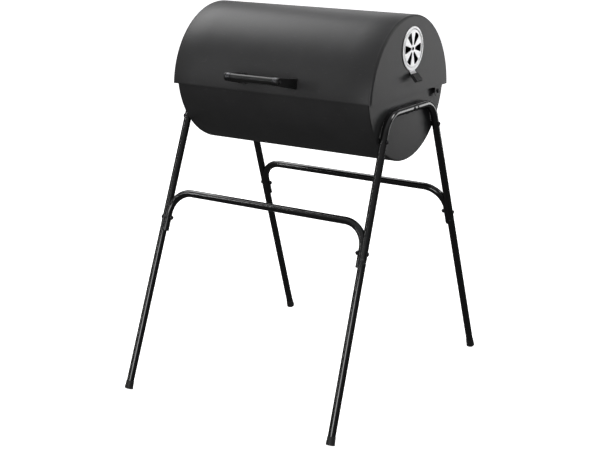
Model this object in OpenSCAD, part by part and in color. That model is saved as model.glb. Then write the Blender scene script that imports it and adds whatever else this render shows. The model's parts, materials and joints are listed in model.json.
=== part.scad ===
// Barrel charcoal grill: a half-drum bowl under a hinged half-drum lid, on a stand of bent tube.
// X runs along the barrel, the handle faces -Y and Z is up.
// The origin is on the ground, midway between the four feet.

/* [Sheet metal] */
// Thickness of the lid and bowl sheet
sheet = 1.2; // [0.8:0.1:1.4]
// Depth of the flange that an end plate turns inside the curved sheet
end_flange = 12; // [8:1:14]

/* [Lid] */
// Length of the lid over its end plates
lid_length = 573.2; // [571:0.2:576]
// Outer radius of the lid's curved sheet
lid_radius = 202.3; // [202:0.1:203]
// Height of the centre of the lid's arc
lid_axis_z = 765.1; // [764:0.1:766]
// Height of the lid's lower edge
lid_edge_z = 775.9; // [775:0.1:777]
// Radius of the rolled corner of a lid end plate
lid_corner = 6; // [4:0.5:7]

/* [Bowl] */
// Length of the bowl over its end plates
bowl_length = 553.4; // [551:0.2:554]
// Outer radius of the bowl's curved sheet
bowl_radius = 197.7; // [197:0.1:198]
// Height of the centre of the bowl's arc
bowl_axis_z = 807.6; // [807:0.1:808]
// Height of the bowl's rim
bowl_rim_z = 788; // [787:0.1:788]
// Radius of the rolled corner of a bowl end plate
bowl_corner = 4; // [3:0.5:5]
// Diameter of the bead rolled along the bowl's rim
rim_bead = 5; // [4:0.5:5]

/* [Hinge] */
// Distance of the hinge pins behind the barrel's middle
hinge_y = 147; // [145:0.5:148]
// Height of the hinge pins
hinge_z = 763.6; // [763:0.1:764]
// Radius of the ear that hangs from a lid end plate
ear_radius = 15; // [13:0.5:16]

/* [Vents] */
// Height of the vent discs
vent_z = 886; // [880:1:890]
// Radius of a vent disc
vent_radius = 54; // [50:1:56]
// Number of windows in a vent
vent_windows = 6; // [5:1:6]
// Angle that one window spans
window_angle = 31; // [24:1:34]
// Width of the tab that turns a vent
tab_width = 27; // [20:1:30]
// Outward slope of the tab from the vertical
tab_slope = 42; // [35:1:45]

/* [Handle] */
// Distance of the handle's bar in front of the barrel's middle
handle_y = 264; // [260:1:270]
// Height of the handle's bar
handle_z = 819.5; // [817:0.5:822]
// Length of the bar, with its collars
handle_length = 144; // [138:1:146]
// Diameter of the bar
bar_d = 18.5; // [17:0.5:20]

/* [Stand] */
// Diameter of the stand's tube
tube_d = 19; // [18.6:0.1:19.4]
// Wall of the stand's tube
tube_wall = 1.2; // [1:0.1:1.4]
// Distance of the legs' axes from the middle along the barrel, at the ground
foot_x = 303.9; // [303.5:0.1:306]
// Distance of the legs' axes from the middle across the barrel, at the ground
foot_y = 389.7; // [385:0.1:395]
// Angle that the legs splay apart across the barrel
splay = 20.3; // [20:0.1:20.6]
// Angle that a side frame leans outward at its feet
lean = 1.29; // [1.2:0.01:1.3]
// Height of a side frame's top bar
frame_z = 740.5; // [739:0.5:742]
// Radius of a side frame's bends
frame_bend = 60; // [50:1:65]
// Height of the joint between the upper and the lower tube of a leg
leg_joint_z = 410; // [400:1:415]
// Height of the stretchers
stretcher_z = 495; // [490:1:500]
// Radius of a stretcher's bends
stretcher_bend = 60; // [55:1:62]

/* [Grates] */
// Diameter of a grate's bars
grate_bar = 4.5; // [4:0.5:5]
// Diameter of the wires that tie a grate's bars together
grate_tie = 5; // [4:0.5:5]
// Number of bars in a cooking grill
grill_bars = 19; // [12:1:21]
// Number of bars in a charcoal grate
charcoal_bars = 15; // [10:1:18]

/* [Hidden] */
$fn = 96;

// Colours
drum_grey = [0.29, 0.30, 0.31];
gloss_black = [0.05, 0.05, 0.055];
dull_black = [0.09, 0.09, 0.09];
bright_steel = [0.80, 0.81, 0.82];
dark_steel = [0.16, 0.16, 0.17];
chrome_wire = [0.70, 0.71, 0.72];

// Clearances
snug = 0.05; // between pieces that are fixed together
running = 0.08; // round a pin that something turns on
loose = 0.3; // between pieces that move apart
lean_gap = 0.2; // between a flat face and a leaning tube
cut = 1; // how far a cutting shape runs past what it cuts
far = 1000; // larger than the whole grill

lid_half = lid_length / 2;
bowl_half = bowl_length / 2;
lid_inner = lid_radius - sheet;
bowl_inner = bowl_radius - sheet;
flange_step = sheet + 2 * snug; // how far a flange lies inside the curved sheet's outside

// Stand, in the plane of a side frame: u runs across the barrel, v up the leaning plane
tube_r = tube_d / 2;
tube_bore = tube_r - tube_wall;
bend_ease = 0.15; // a tube draws this much thinner round a bend
bend_lap = 0.3; // degrees that a bend runs into its straight stretches
frame_v = frame_z / cos(lean);
bend_u = foot_y - frame_v * tan(splay) - frame_bend * tan((90 - splay) / 2);
bend_v = frame_v - frame_bend;
bend_s = (bend_v + frame_bend * sin(splay)) / cos(splay);
swage_len = 45; // length of a tube's reduced end
swage_r = tube_bore - 2 * snug;
swage_bore = swage_r - tube_wall;
swage_neck = 2; // length of the shoulder where a tube narrows
top_joint_y = 20; // where the two halves of a top bar meet
top_screw_y = 4;
leg_joint_s = leg_joint_z / (cos(lean) * cos(splay));
tube_foot_s = 7; // where a lower tube ends inside its cap

function leg_s(z) = z / (cos(lean) * cos(splay));
function leg_point(s) =
    [foot_x - s * cos(splay) * sin(lean), foot_y - s * sin(splay), s * cos(splay) * cos(lean)];

// Bolts
bolt_r = 3;
bolt_head_r = 5.5;
bolt_head_h = 3.2;
nut_r = 5.77; // to a corner
nut_h = 5;
stretcher_bolt = leg_point(leg_s(429));
frame_bolt = leg_point(leg_s(681));

// Stretchers, in the plane that holds both legs of one side
plane_splay = atan(tan(splay) / cos(lean));
plane_lean = atan(tan(lean) * cos(plane_splay));
stretcher_t = stretcher_z / cos(plane_splay);
stretcher_nest = 6; // from the leg's axis to the axis of the flattened end
stretcher_tip_t = 396 / cos(plane_splay);
stretcher_end_t = stretcher_t - stretcher_bend * (1 - sin(plane_lean));
stretcher_run = foot_x - stretcher_end_t * tan(plane_lean) - stretcher_nest / cos(plane_lean)
    - stretcher_bend * cos(plane_lean);
stretcher_solid = 55; // degrees of the bend at which the tube closes up

// Vents
vent_plate = 1;
vent_x = lid_half + loose;
rivet_r = 2.5;
window_in = 10;
window_out = 40.5;
tab_bend_z = vent_z - vent_radius - 1;
grip_start = 7;
grip_length = 23;
grip_width = 31;
grip_thick = 8;

// Handle
arm_thick = 5; // at the bar
arm_nose = 10.3;
arm_root = 9; // thickness at the lid
foot_out = 84; // from the middle to the outside of an arm at the lid
foot_width = 22;
foot_z = 807;
foot_height = 25;
foot_thick = 6;
collar_length = 11;
collar_r = 10.2;
handle_half = handle_length / 2;
handle_screw_r = 2.5;
foot_angle = asin((foot_z - lid_axis_z) / lid_radius);
foot_screw_x = foot_out - foot_width + 6.5;
bar_screw_head = 4.5;

// Grates
rail_top_z = 765;
rail_width = 12;
rail_drop = 13;
rail_thick = 1.5;
rail_half = bowl_half - bowl_corner - end_flange - 6;
grate_gap = 3; // from the middle to the first bar's side
grate_reach = 262; // from the middle to the last bar's centre
grill_half_depth = 184;
grill_bar_z = rail_top_z + loose + grate_bar / 2;
charcoal_half_depth = 137;
charcoal_clear = bowl_radius - flange_step - sheet - loose;
charcoal_bar_z = bowl_axis_z - sqrt(pow(charcoal_clear, 2) - pow(charcoal_half_depth, 2))
    + grate_bar / 2;

// ---------------------------------------------------------------- helpers

// A flat outline in the barrel's cross-section, extruded from x0 to x1
module across(x0, x1) {
    translate([x0, 0, 0]) rotate([90, 0, 90]) linear_extrude(x1 - x0) children();
}

// The same piece at the left end
module left_end() {
    mirror([1, 0, 0]) children();
}

// The same piece at both ends
module both_ends() {
    children();
    left_end() children();
}

// Moves a piece of the rear right corner to the corner with these signs
module corner(sx, sy) {
    mirror([sx < 0 ? 1 : 0, 0, 0]) mirror([0, sy < 0 ? 1 : 0, 0]) children();
}

module all_corners() {
    for (sx = [-1, 1], sy = [-1, 1]) corner(sx, sy) children();
}

// Everything above a height
module above(z) {
    translate([-far, -far, z]) cube([2 * far, 2 * far, far]);
}

module below(z) {
    translate([-far, -far, z - far]) cube([2 * far, 2 * far, far]);
}

// A rod along X
module rod_x(x0, x1, y, z, r) {
    translate([x0, y, z]) rotate([0, 90, 0]) cylinder(r = r, h = x1 - x0);
}

// A rod along Y
module rod_y(x, y0, y1, z, r) {
    translate([x, y0, z]) rotate([-90, 0, 0]) cylinder(r = r, h = y1 - y0);
}

// A hexagonal nut along X, with its hole
module nut_x(x0, x1, y, z) {
    difference() {
        translate([x0, y, z]) rotate([0, 90, 0]) cylinder(r = nut_r, h = x1 - x0, $fn = 6);
        rod_x(x0 - cut, x1 + cut, y, z, bolt_r + snug);
    }
}

// A round head with a softened rim, on a shank along X. The head sits at x, outward of the shank.
module bolt_x(x_tip, x_head, y, z, r, head_r, head_h) {
    rod_x(x_tip, x_head + snug, y, z, r);
    rod_x(x_head, x_head + head_h / 2, y, z, head_r);
    translate([x_head + head_h / 2 - snug, y, z]) rotate([0, 90, 0])
        cylinder(r1 = head_r - snug, r2 = head_r * 0.62, h = head_h / 2);
}

// ---------------------------------------------------------------- lid and bowl sheet

// Outline of a dished end plate from its axis out to its flange, with its outer face at height half
module dished_outline(radius, corner_r, half) {
    flange_r = radius - flange_step;
    translate([0, half - sheet]) square([radius - corner_r, sheet]);
    translate([radius - corner_r, half - corner_r]) intersection() {
        difference() {
            circle(r = corner_r);
            circle(r = corner_r - sheet);
        }
        square(corner_r);
    }
    translate([flange_r - sheet, half - corner_r - sheet])
        square([sheet + flange_step, sheet + snug]);
    translate([flange_r - sheet, half - corner_r - end_flange]) square([sheet, end_flange]);
}

module dished_end(radius, corner_r, half, axis_z) {
    translate([0, 0, axis_z]) rotate([0, 90, 0])
        rotate_extrude() dished_outline(radius, corner_r, half);
}

// The curved sheet's cross-section, as a full ring
module ring(radius, axis_z, thick) {
    translate([0, axis_z]) difference() {
        circle(r = radius);
        circle(r = radius - thick);
    }
}

module window_sector() {
    edge = window_out * 1.5;
    intersection() {
        difference() {
            circle(r = window_out);
            circle(r = window_in);
        }
        polygon([
            [0, 0],
            [edge * sin(window_angle / 2), edge * cos(window_angle / 2)],
            [-edge * sin(window_angle / 2), edge * cos(window_angle / 2)]
        ]);
    }
}

// The windows of a vent, the same in the lid's end and in the disc
module vent_openings(x0, x1) {
    for (i = [0:vent_windows - 1])
        across(x0, x1) translate([0, vent_z]) rotate((i + 0.5) * 360 / vent_windows) window_sector();
}

module lid_end() {
    color(drum_grey) difference() {
        union() {
            intersection() {
                dished_end(lid_radius, lid_corner, lid_half, lid_axis_z);
                above(lid_edge_z);
            }
            across(lid_half - sheet, lid_half) {
                translate([hinge_y, hinge_z]) circle(r = ear_radius);
                translate([hinge_y - ear_radius, hinge_z])
                    square([2 * ear_radius, lid_edge_z - hinge_z + ear_radius]);
            }
        }
        rod_x(lid_half - sheet - cut, lid_half + cut, hinge_y, hinge_z, bolt_r + running);
        rod_x(lid_half - sheet - cut, lid_half + cut, 0, vent_z, rivet_r + snug);
        vent_openings(lid_half - sheet - cut, lid_half + cut);
    }
}

module lid_wrapper() {
    reach = lid_half - lid_corner - sheet - snug;
    color(drum_grey) difference() {
        intersection() {
            across(-reach, reach) ring(lid_radius, lid_axis_z, sheet);
            above(lid_edge_z);
        }
        both_ends() foot_screw_hole(handle_screw_r + snug);
    }
}

module lid_end_right() lid_end();
module lid_end_left() left_end() lid_end();

// Angled clips inside the lid's front that carry it on the bowl's rim when it is shut
module lid_rest_tabs() {
    tab_x = 165;
    tab_length = 30;
    shelf_z = bowl_rim_z + loose / 2;
    shelf_reach = 189.5;
    clip_height = 16;
    color(drum_grey) both_ends() across(tab_x, tab_x + tab_length) {
        intersection() {
            ring(lid_inner - snug, lid_axis_z, sheet);
            translate([-far, shelf_z]) square([far, clip_height]);
        }
        intersection() {
            translate([0, lid_axis_z]) circle(r = lid_inner - snug);
            translate([-far, shelf_z]) square([far - shelf_reach, sheet]);
        }
    }
}

module bowl_wrapper() {
    reach = bowl_half - bowl_corner - sheet - snug;
    bead_r = rim_bead / 2;
    bead_z = bowl_rim_z - bead_r;
    bead_y = sqrt(pow(bowl_radius - bead_r - 4 * snug, 2) - pow(bowl_axis_z - bead_z, 2));
    color(drum_grey) across(-reach, reach) {
        intersection() {
            ring(bowl_radius, bowl_axis_z, sheet);
            translate([-far, bead_z - far]) square([2 * far, far]);
        }
        for (side = [-1, 1]) translate([side * bead_y, bead_z]) circle(r = bead_r);
    }
}

module bowl_end() {
    color(drum_grey) difference() {
        intersection() {
            dished_end(bowl_radius, bowl_corner, bowl_half, bowl_axis_z);
            below(bowl_rim_z);
        }
        translate([0, -far, bowl_rim_z - rim_bead - snug])
            cube([bowl_half - bowl_corner - sheet, 2 * far, far]);
        rod_x(bowl_half - sheet - cut, bowl_half + cut, hinge_y, hinge_z, bolt_r + snug);
        for (side = [-1, 1])
            rod_x(bowl_half - sheet - cut, bowl_half + cut, side * frame_bolt[1], frame_bolt[2],
                bolt_r + snug);
    }
}

module bowl_end_right() bowl_end();
module bowl_end_left() left_end() bowl_end();

// Angle strip along the bowl's wall that carries the cooking grills
module grill_rail() {
    wall_r = bowl_inner - snug;
    color(drum_grey) across(-rail_half, rail_half) {
        intersection() {
            ring(wall_r, bowl_axis_z, rail_thick);
            translate([0, rail_top_z - rail_drop]) square([far, rail_drop]);
        }
        intersection() {
            translate([0, bowl_axis_z]) circle(r = wall_r);
            translate([bowl_inner * cos(asin((bowl_axis_z - rail_top_z) / bowl_inner)) - rail_width,
                rail_top_z - rail_thick]) square([rail_width, rail_thick]);
        }
    }
}

module grill_rail_rear() grill_rail();
module grill_rail_front() mirror([0, 1, 0]) grill_rail();

// ---------------------------------------------------------------- hinge

module hinge_bolts() {
    color(dark_steel) both_ends()
        bolt_x(bowl_half - sheet - nut_h - 2, lid_half + loose, hinge_y, hinge_z,
            bolt_r, bolt_head_r, bolt_head_h);
}

module hinge_spacers() {
    color(dark_steel) both_ends() difference() {
        rod_x(bowl_half + snug, lid_half - sheet - loose, hinge_y, hinge_z, 2 * bolt_r);
        rod_x(bowl_half - cut, lid_half + cut, hinge_y, hinge_z, bolt_r + snug);
    }
}

module hinge_nuts() {
    color(dark_steel) both_ends()
        nut_x(bowl_half - sheet - snug - nut_h, bowl_half - sheet - snug, hinge_y, hinge_z);
}

// ---------------------------------------------------------------- vents

// The tab's shape beyond the disc, bent outward. margin grows it, to cut its slot in the grip.
module vent_tab(margin) {
    width = tab_width + 2 * margin;
    root = 7; // how far the tab runs up into the disc
    translate([vent_x - margin, -width / 2, tab_bend_z])
        cube([vent_plate + 2 * margin, width, root]);
    translate([vent_x + vent_plate / 2, 0, tab_bend_z + margin]) rotate([0, -tab_slope, 0])
        translate([-vent_plate / 2 - margin, -width / 2, 3 - grip_start - grip_length - 2 * margin])
            cube([vent_plate + 2 * margin, width, grip_start + grip_length - 3 + 0.3 + 2 * margin]);
}

module vent_disc() {
    groove_r = 46;
    groove_half = 1.5;
    rib_height = 0.7;
    color(bright_steel) difference() {
        union() {
            rod_x(vent_x, vent_x + vent_plate, 0, vent_z, vent_radius);
            difference() {
                rod_x(vent_x + vent_plate - snug, vent_x + vent_plate + rib_height, 0, vent_z,
                    groove_r + groove_half);
                rod_x(vent_x, vent_x + vent_plate + rib_height + cut, 0, vent_z,
                    groove_r - groove_half);
            }
            vent_tab(0);
        }
        rod_x(vent_x - cut, vent_x + vent_plate + cut, 0, vent_z, rivet_r + running);
        vent_openings(vent_x - cut, vent_x + vent_plate + cut);
    }
}

module vent_grip() {
    round_r = 2.5;
    color(dull_black) difference() {
        translate([vent_x + vent_plate / 2, 0, tab_bend_z]) rotate([0, -tab_slope, 0])
            translate([0, 0, -grip_start - grip_length]) rotate([90, 0, 0])
                linear_extrude(grip_width, center = true) hull()
                    for (x = [-1, 1], z = [round_r, grip_length - round_r])
                        translate([x * (grip_thick / 2 - round_r), z]) circle(r = round_r, $fn = 32);
        vent_tab(snug);
    }
}

module vent_disc_right() vent_disc();
module vent_disc_left() left_end() vent_disc();
module vent_grip_right() vent_grip();
module vent_grip_left() left_end() vent_grip();

module vent_rivets() {
    tail_r = 4;
    tail_h = 1.5;
    head_x = vent_x + vent_plate + loose;
    color(bright_steel) both_ends() {
        bolt_x(lid_half - sheet - snug - tail_h, head_x, 0, vent_z, rivet_r, 4.2, 2);
        rod_x(lid_half - sheet - snug - tail_h, lid_half - sheet - snug, 0, vent_z, tail_r);
    }
}

// ---------------------------------------------------------------- handle

// Places a piece that points outward through the lid's front, at the foot of the right arm
module at_foot_screw() {
    translate([foot_screw_x, 0, lid_axis_z]) rotate([90 - foot_angle, 0, 0]) children();
}

module foot_screw_hole(r) {
    at_foot_screw() translate([0, 0, lid_inner - cut]) cylinder(r = r, h = foot_thick + 3 * cut);
}

module handle_arm() {
    color(dull_black) difference() {
        union() {
            difference() {
                hull() {
                    across(handle_half + snug, handle_half + arm_thick)
                        translate([-handle_y, handle_z]) circle(r = arm_nose, $fn = 48);
                    across(foot_out - arm_root, foot_out)
                        translate([-lid_radius - 3, foot_z - foot_height / 2])
                            square([10, foot_height]);
                }
                across(handle_half - cut, foot_out + cut)
                    translate([0, lid_axis_z]) circle(r = lid_radius + snug);
            }
            across(foot_out - foot_width, foot_out) intersection() {
                ring(lid_radius + foot_thick, lid_axis_z, foot_thick - snug);
                translate([-far, foot_z - foot_height / 2]) square([far, foot_height]);
            }
        }
        rod_x(handle_half - cut, foot_out + cut, -handle_y, handle_z, handle_screw_r + snug);
        rod_x(handle_half + arm_thick, foot_out + cut, -handle_y, handle_z, bar_screw_head + loose);
        foot_screw_hole(handle_screw_r + snug);
    }
}

module handle_arm_right() handle_arm();
module handle_arm_left() left_end() handle_arm();

module handle_grip() {
    hole = 18;
    color(dull_black) difference() {
        rod_x(-handle_half, handle_half, -handle_y, handle_z, bar_d / 2);
        both_ends() rod_x(handle_half - hole, handle_half + cut, -handle_y, handle_z,
            handle_screw_r + snug);
    }
}

module handle_collars() {
    color(bright_steel) both_ends() difference() {
        rod_x(handle_half - collar_length, handle_half - snug, -handle_y, handle_z, collar_r);
        rod_x(handle_half - collar_length - cut, handle_half + cut, -handle_y, handle_z,
            bar_d / 2 + snug);
    }
}

// Screws through the arms into the ends of the bar
module handle_bar_screws() {
    grip_depth = 15;
    color(dark_steel) both_ends()
        bolt_x(handle_half - grip_depth, handle_half + arm_thick + snug, -handle_y, handle_z,
            handle_screw_r, bar_screw_head, 2.4);
}

// Screws from inside the lid into the arms' feet
module handle_foot_screws() {
    head_h = 2.6;
    head_r = 4.5;
    color(dark_steel) both_ends() at_foot_screw() {
        translate([0, 0, lid_inner - sheet - head_h]) cylinder(r = head_r, h = head_h);
        translate([0, 0, lid_inner - sheet - snug])
            cylinder(r = handle_screw_r, h = sheet + foot_thick + sheet);
    }
}

// ---------------------------------------------------------------- stand

// The plane of the right side frame: u across the barrel, v up, w outward
module in_frame() {
    translate([foot_x, 0, 0]) rotate([0, -lean, 0]) rotate([90, 0, 90]) children();
}

// A straight stretch of a leg, between two distances from the ground along the leg
module leg_stretch(r0, r1, s0, s1) {
    in_frame() translate([foot_y, 0, 0]) rotate([0, 0, splay]) rotate([-90, 0, 0])
        translate([0, 0, s0]) cylinder(r1 = r0, r2 = r1, h = s1 - s0);
}

// A straight stretch of the top bar
module top_stretch(r0, r1, u0, u1) {
    in_frame() translate([u0, frame_v, 0]) rotate([0, 90, 0])
        cylinder(r1 = r0, r2 = r1, h = u1 - u0);
}

module frame_corner(r) {
    in_frame() translate([bend_u, bend_v, 0]) rotate([0, 0, splay - bend_lap])
        rotate_extrude(angle = 90 - splay + 2 * bend_lap) translate([frame_bend, 0]) circle(r = r);
}

// Ring of punch marks that locks a leg's two tubes together
module punch_marks() {
    marks = 8;
    mark_r = 1.6;
    mark_depth = 0.6;
    from_end = 5;
    in_frame() translate([foot_y, 0, 0]) rotate([0, 0, splay]) rotate([-90, 0, 0])
        for (i = [0:marks - 1]) rotate([0, 0, (i + 0.5) * 360 / marks])
            translate([tube_r + mark_r - mark_depth, 0, leg_joint_s + from_end]) sphere(r = mark_r);
}

// Half of an inverted U: from the top bar's joint, round the bend and down to the leg's joint
module frame_tube(u0) {
    color(gloss_black) difference() {
        union() {
            top_stretch(tube_r, tube_r, u0, bend_u);
            frame_corner(tube_r - bend_ease);
            leg_stretch(tube_r, tube_r, leg_joint_s, bend_s);
        }
        top_stretch(tube_bore, tube_bore, u0 - cut, bend_u);
        frame_corner(tube_bore + bend_ease);
        leg_stretch(tube_bore, tube_bore, leg_joint_s - cut, bend_s);
        punch_marks();
        rod_x(foot_x - far, foot_x + far, stretcher_bolt[1], stretcher_bolt[2], bolt_r + snug);
        rod_x(foot_x - far, foot_x + far, frame_bolt[1], frame_bolt[2], bolt_r + snug);
    }
}

// The rear half's reduced end, which slides into the front half
module top_swage() {
    color(gloss_black) difference() {
        union() {
            top_stretch(swage_r, swage_r, top_joint_y - swage_len, top_joint_y + cut);
            top_stretch(swage_r, tube_r - snug, top_joint_y, top_joint_y + swage_neck);
        }
        top_stretch(swage_bore, swage_bore, top_joint_y - swage_len - cut, top_joint_y + 3 * cut);
        top_screw_hole();
    }
}

module top_screw_hole() {
    rod_x(foot_x - far, foot_x + far, top_screw_y, frame_z, 2 + snug);
}

module frame_tube_rear() {
    frame_tube(top_joint_y + swage_neck - snug);
    top_swage();
}

module frame_tube_front() {
    color(gloss_black) mirror([0, 1, 0]) difference() {
        frame_tube(-top_joint_y + snug);
        mirror([0, 1, 0]) top_screw_hole();
    }
}

module frame_tube_front_right() frame_tube_front();
module frame_tube_rear_right() frame_tube_rear();
module frame_tube_front_left() left_end() frame_tube_front();
module frame_tube_rear_left() left_end() frame_tube_rear();

module lower_leg() {
    color(gloss_black) difference() {
        union() {
            leg_stretch(tube_r, tube_r, tube_foot_s, leg_joint_s - swage_neck);
            leg_stretch(tube_r, swage_r, leg_joint_s - swage_neck, leg_joint_s + snug);
            leg_stretch(swage_r, swage_r, leg_joint_s, leg_joint_s + swage_len);
        }
        leg_stretch(tube_bore, tube_bore, tube_foot_s - cut, leg_joint_s - 4 * swage_neck);
        leg_stretch(swage_bore, swage_bore, leg_joint_s - 5 * swage_neck, leg_joint_s + swage_len + cut);
        rod_x(foot_x - far, foot_x + far, stretcher_bolt[1], stretcher_bolt[2], bolt_r + snug);
    }
}

module lower_leg_front_right() corner(1, -1) lower_leg();
module lower_leg_rear_right() lower_leg();
module lower_leg_front_left() corner(-1, -1) lower_leg();
module lower_leg_rear_left() corner(-1, 1) lower_leg();

// Plastic cap on the end of a leg, with a small flat where its lowest edge stands on the ground
module foot_cap() {
    cap_bottom = 2.9;
    cap_top = 24;
    color(dull_black) difference() {
        intersection() {
            leg_stretch(11.4, 10.2, cap_bottom, cap_top);
            above(0);
        }
        leg_stretch(tube_r + snug, tube_r + snug, tube_foot_s - snug, cap_top + cut);
    }
}

module foot_cap_front_right() corner(1, -1) foot_cap();
module foot_cap_rear_right() foot_cap();
module foot_cap_front_left() corner(-1, -1) foot_cap();
module foot_cap_rear_left() corner(-1, 1) foot_cap();

// The plane of the front legs: x along the barrel, t up the plane from the ground
module in_stretcher_plane() {
    translate([0, -foot_y, 0]) rotate([90 - plane_splay, 0, 0]) children();
}

module stretcher_straight(r, half) {
    translate([-half, stretcher_t, 0]) rotate([0, 90, 0]) cylinder(r = r, h = 2 * half);
}

// The bend, from the straight run down to an angle above the leg's direction
module stretcher_corner(r, stop) {
    translate([stretcher_run, stretcher_t - stretcher_bend, 0]) rotate([0, 0, stop])
        rotate_extrude(angle = 90 - stop + bend_lap) translate([stretcher_bend, 0]) circle(r = r);
}

// The flattened end that lies along the leg
module stretcher_end() {
    translate([stretcher_run, stretcher_t - stretcher_bend, 0]) rotate([0, 0, plane_lean])
        translate([stretcher_bend, 0, 0]) rotate([90, 0, 0])
            cylinder(r = tube_r, h = stretcher_end_t - stretcher_tip_t);
}

module stretcher() {
    color(gloss_black) difference() {
        in_stretcher_plane() difference() {
            union() {
                stretcher_straight(tube_r, stretcher_run);
                both_ends() {
                    stretcher_corner(tube_r - bend_ease, plane_lean - bend_lap);
                    stretcher_end();
                }
            }
            stretcher_straight(tube_bore, stretcher_run);
            both_ends() stretcher_corner(tube_bore + bend_ease, stretcher_solid);
        }
        for (sx = [-1, 1]) corner(sx, -1) {
            leg_stretch(tube_r + snug, tube_r + snug, leg_joint_s - far / 10, leg_joint_s + far / 5);
            rod_x(foot_x - far / 10, foot_x + far / 10, stretcher_bolt[1], stretcher_bolt[2],
                bolt_r + snug);
        }
    }
}

module stretcher_front() stretcher();
module stretcher_rear() mirror([0, 1, 0]) stretcher();

module stretcher_bolts() {
    nut_face = stretcher_bolt[0] - stretcher_nest - tube_r - snug;
    color(dark_steel) all_corners()
        bolt_x(nut_face - nut_h - 2, stretcher_bolt[0] + tube_r + lean_gap,
            stretcher_bolt[1], stretcher_bolt[2], bolt_r, bolt_head_r, bolt_head_h);
}

module stretcher_nuts() {
    nut_face = stretcher_bolt[0] - stretcher_nest - tube_r - snug;
    color(dark_steel) all_corners()
        nut_x(nut_face - nut_h, nut_face, stretcher_bolt[1], stretcher_bolt[2]);
}

module frame_bolts() {
    color(dark_steel) all_corners()
        bolt_x(bowl_half - sheet - nut_h - 2, frame_bolt[0] + tube_r + lean_gap,
            frame_bolt[1], frame_bolt[2], bolt_r, bolt_head_r, bolt_head_h);
}

module frame_spacers() {
    color(dark_steel) all_corners() difference() {
        rod_x(bowl_half + snug, frame_bolt[0] - tube_r - lean_gap, frame_bolt[1], frame_bolt[2],
            2 * bolt_r + 1);
        rod_x(bowl_half - cut, frame_bolt[0], frame_bolt[1], frame_bolt[2], bolt_r + snug);
    }
}

module frame_nuts() {
    color(dark_steel) all_corners()
        nut_x(bowl_half - sheet - snug - nut_h, bowl_half - sheet - snug, frame_bolt[1], frame_bolt[2]);
}

// Screws that lock the two halves of each top bar
module frame_screws() {
    axis_x = foot_x - frame_z * tan(lean);
    color(dark_steel) both_ends()
        bolt_x(axis_x, axis_x + tube_r + snug, top_screw_y, frame_z, 2, 3.8, 2.4);
}

// ---------------------------------------------------------------- grates

// Bars along Y on top of tie wires along X
module grate(count, half_depth, bar_z, tie_y) {
    sink = 0.6; // how far a bar is welded into a tie wire
    tie_z = bar_z - grate_bar / 2 - grate_tie / 2 + sink;
    first = grate_gap + grate_bar / 2;
    color(chrome_wire) {
        for (i = [0:count - 1])
            rod_y(first + i * (grate_reach - first) / (count - 1), -half_depth, half_depth, bar_z,
                grate_bar / 2);
        for (y = [-tie_y, 0, tie_y])
            rod_x(grate_gap, grate_reach + grate_bar / 2, y, tie_z, grate_tie / 2);
    }
}

module cooking_grill_right() grate(grill_bars, grill_half_depth, grill_bar_z, 165);
module cooking_grill_left() left_end() cooking_grill_right();
module charcoal_grate_right() grate(charcoal_bars, charcoal_half_depth, charcoal_bar_z, 105);
module charcoal_grate_left() left_end() charcoal_grate_right();

// ---------------------------------------------------------------- assembly

lid_wrapper();
lid_end_right();
lid_end_left();
lid_rest_tabs();
handle_grip();
handle_collars();
handle_arm_right();
handle_arm_left();
handle_bar_screws();
handle_foot_screws();
vent_rivets();
vent_disc_right();
vent_grip_right();
vent_disc_left();
vent_grip_left();
bowl_wrapper();
bowl_end_right();
bowl_end_left();
grill_rail_front();
grill_rail_rear();
frame_tube_front_right();
frame_tube_rear_right();
frame_tube_front_left();
frame_tube_rear_left();
lower_leg_front_right();
lower_leg_rear_right();
lower_leg_front_left();
lower_leg_rear_left();
foot_cap_front_right();
foot_cap_rear_right();
foot_cap_front_left();
foot_cap_rear_left();
stretcher_front();
stretcher_rear();
stretcher_bolts();
stretcher_nuts();
frame_screws();
frame_bolts();
frame_spacers();
frame_nuts();
hinge_bolts();
hinge_spacers();
hinge_nuts();
cooking_grill_right();
cooking_grill_left();
charcoal_grate_right();
charcoal_grate_left();
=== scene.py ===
"""Looks of a barrel charcoal grill on a stand of bent tube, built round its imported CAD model.

Metres throughout. X runs along the barrel, the handle faces -Y and Z is up.
"""
import json
import math

import bmesh
import bpy
from mathutils import Matrix, Vector

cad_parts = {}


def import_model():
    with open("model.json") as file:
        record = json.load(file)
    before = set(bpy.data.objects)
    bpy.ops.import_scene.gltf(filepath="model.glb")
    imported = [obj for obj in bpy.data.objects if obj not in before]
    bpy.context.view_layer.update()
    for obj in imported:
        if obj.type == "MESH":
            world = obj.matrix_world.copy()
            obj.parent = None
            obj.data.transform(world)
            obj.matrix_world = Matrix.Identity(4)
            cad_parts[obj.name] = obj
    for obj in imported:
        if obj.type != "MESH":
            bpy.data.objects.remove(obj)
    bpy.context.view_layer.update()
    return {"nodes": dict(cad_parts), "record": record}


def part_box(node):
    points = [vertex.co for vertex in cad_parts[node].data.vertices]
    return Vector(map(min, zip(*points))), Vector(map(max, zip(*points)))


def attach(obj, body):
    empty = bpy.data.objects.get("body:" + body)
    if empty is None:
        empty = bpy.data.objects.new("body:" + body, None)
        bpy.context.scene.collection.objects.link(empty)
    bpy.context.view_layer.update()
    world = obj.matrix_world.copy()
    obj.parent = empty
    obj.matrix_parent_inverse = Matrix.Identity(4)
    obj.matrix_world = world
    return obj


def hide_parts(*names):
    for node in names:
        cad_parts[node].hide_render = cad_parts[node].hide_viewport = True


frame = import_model()
MM = 0.001
TAU = 2 * math.pi


def arc_of(node):
    """Radius and axis height of a half drum's arc, from a node whose box it spans."""
    low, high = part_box(node)
    half, rise = (high.y - low.y) / 2, high.z - low.z
    radius = (half * half + rise * rise) / (2 * rise)
    return radius, high.z - radius


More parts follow.
